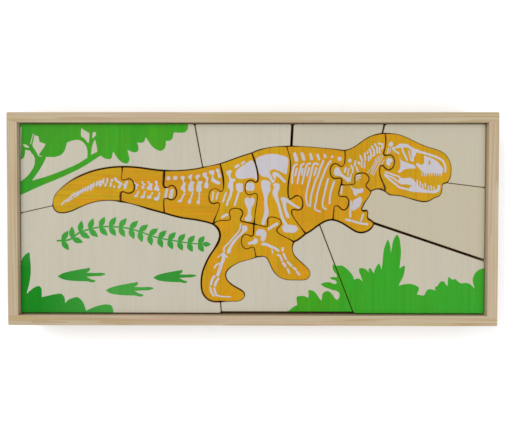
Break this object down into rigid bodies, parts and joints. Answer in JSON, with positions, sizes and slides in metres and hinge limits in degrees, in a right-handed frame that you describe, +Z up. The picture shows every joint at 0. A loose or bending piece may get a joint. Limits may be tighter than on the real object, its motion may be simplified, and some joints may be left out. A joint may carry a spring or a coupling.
{
  "type": "wooden dinosaur jigsaw puzzle in a tray",
  "caption": "Shallow wooden tray holding thick sawn jigsaw pieces that form a walking dinosaur with a printed skeleton, set among plain background pieces with foliage.",
  "frame": {"origin": "on the table surface, under the centre of the tray", "axes": "+X along the tray's length, from the dinosaur's tail to its head; +Y across the tray, up the picture; +Z up out of the tray, the way the pieces lift"},
  "size_m": [0.345, 0.15, 0.0255],
  "materials": {
    "pine_rail": "planed pine, grain along each rail, lightly sanded and unvarnished",
    "plywood_panel": "thin birch plywood, sanded",
    "painted_wood": "thin satin yellow paint over wood, with a pale printed skeleton",
    "bare_wood": "pale sanded wood with green printed plants and footprints"
  },
  "bodies": {
    "tray": {"rail_back": "pine_rail", "rail_front": "pine_rail", "rail_left": "pine_rail", "rail_right": "pine_rail", "base_panel": "plywood_panel"},
    "tail_tip_body": {"tail_tip": "painted_wood"},
    "tail_middle_body": {"tail_middle": "painted_wood"},
    "tail_base_body": {"tail_base": "painted_wood"},
    "pelvis_body": {"pelvis": "painted_wood"},
    "thigh_body": {"thigh": "painted_wood"},
    "ribcage_body": {"ribcage": "painted_wood"},
    "neck_body": {"neck": "painted_wood"},
    "head_body": {"head": "painted_wood"},
    "arm_body": {"arm": "painted_wood"},
    "rear_leg_body": {"rear_leg": "painted_wood"},
    "front_leg_body": {"front_leg": "painted_wood"},
    "tree_piece_body": {"tree_piece": "bare_wood"},
    "sky_piece_back_body": {"sky_piece_back": "bare_wood"},
    "sky_piece_neck_body": {"sky_piece_neck": "bare_wood"},
    "sky_piece_head_body": {"sky_piece_head": "bare_wood"},
    "sky_piece_jaw_body": {"sky_piece_jaw": "bare_wood"},
    "bush_piece_body": {"bush_piece": "bare_wood"},
    "ground_piece_body": {"ground_piece": "bare_wood"},
    "footprint_piece_body": {"footprint_piece": "bare_wood"}
  },
  "joints": [
    {"name": "tail_tip_lift", "type": "slide", "parent": "tray", "child": "tail_tip_body", "axis": [0, 0, 1], "range_m": [0, 0.04]},
    {"name": "tail_middle_lift", "type": "slide", "parent": "tray", "child": "tail_middle_body", "axis": [0, 0, 1], "range_m": [0, 0.04]},
    {"name": "tail_base_lift", "type": "slide", "parent": "tray", "child": "tail_base_body", "axis": [0, 0, 1], "range_m": [0, 0.04]},
    {"name": "pelvis_lift", "type": "slide", "parent": "tray", "child": "pelvis_body", "axis": [0, 0, 1], "range_m": [0, 0.04]},
    {"name": "thigh_lift", "type": "slide", "parent": "tray", "child": "thigh_body", "axis": [0, 0, 1], "range_m": [0, 0.04]},
    {"name": "ribcage_lift", "type": "slide", "parent": "tray", "child": "ribcage_body", "axis": [0, 0, 1], "range_m": [0, 0.04]},
    {"name": "neck_lift", "type": "slide", "parent": "tray", "child": "neck_body", "axis": [0, 0, 1], "range_m": [0, 0.04]},
    {"name": "head_lift", "type": "slide", "parent": "tray", "child": "head_body", "axis": [0, 0, 1], "range_m": [0, 0.04]},
    {"name": "arm_lift", "type": "slide", "parent": "tray", "child": "arm_body", "axis": [0, 0, 1], "range_m": [0, 0.04]},
    {"name": "rear_leg_lift", "type": "slide", "parent": "tray", "child": "rear_leg_body", "axis": [0, 0, 1], "range_m": [0, 0.04]},
    {"name": "front_leg_lift", "type": "slide", "parent": "tray", "child": "front_leg_body", "axis": [0, 0, 1], "range_m": [0, 0.04]},
    {"name": "tree_piece_lift", "type": "slide", "parent": "tray", "child": "tree_piece_body", "axis": [0, 0, 1], "range_m": [0, 0.04]},
    {"name": "sky_piece_back_lift", "type": "slide", "parent": "tray", "child": "sky_piece_back_body", "axis": [0, 0, 1], "range_m": [0, 0.04]},
    {"name": "sky_piece_neck_lift", "type": "slide", "parent": "tray", "child": "sky_piece_neck_body", "axis": [0, 0, 1], "range_m": [0, 0.04]},
    {"name": "sky_piece_head_lift", "type": "slide", "parent": "tray", "child": "sky_piece_head_body", "axis": [0, 0, 1], "range_m": [0, 0.04]},
    {"name": "sky_piece_jaw_lift", "type": "slide", "parent": "tray", "child": "sky_piece_jaw_body", "axis": [0, 0, 1], "range_m": [0, 0.04]},
    {"name": "bush_piece_lift", "type": "slide", "parent": "tray", "child": "bush_piece_body", "axis": [0, 0, 1], "range_m": [0, 0.04]},
    {"name": "ground_piece_lift", "type": "slide", "parent": "tray", "child": "ground_piece_body", "axis": [0, 0, 1], "range_m": [0, 0.04]},
    {"name": "footprint_piece_lift", "type": "slide", "parent": "tray", "child": "footprint_piece_body", "axis": [0, 0, 1], "range_m": [0, 0.04]}
  ]
}
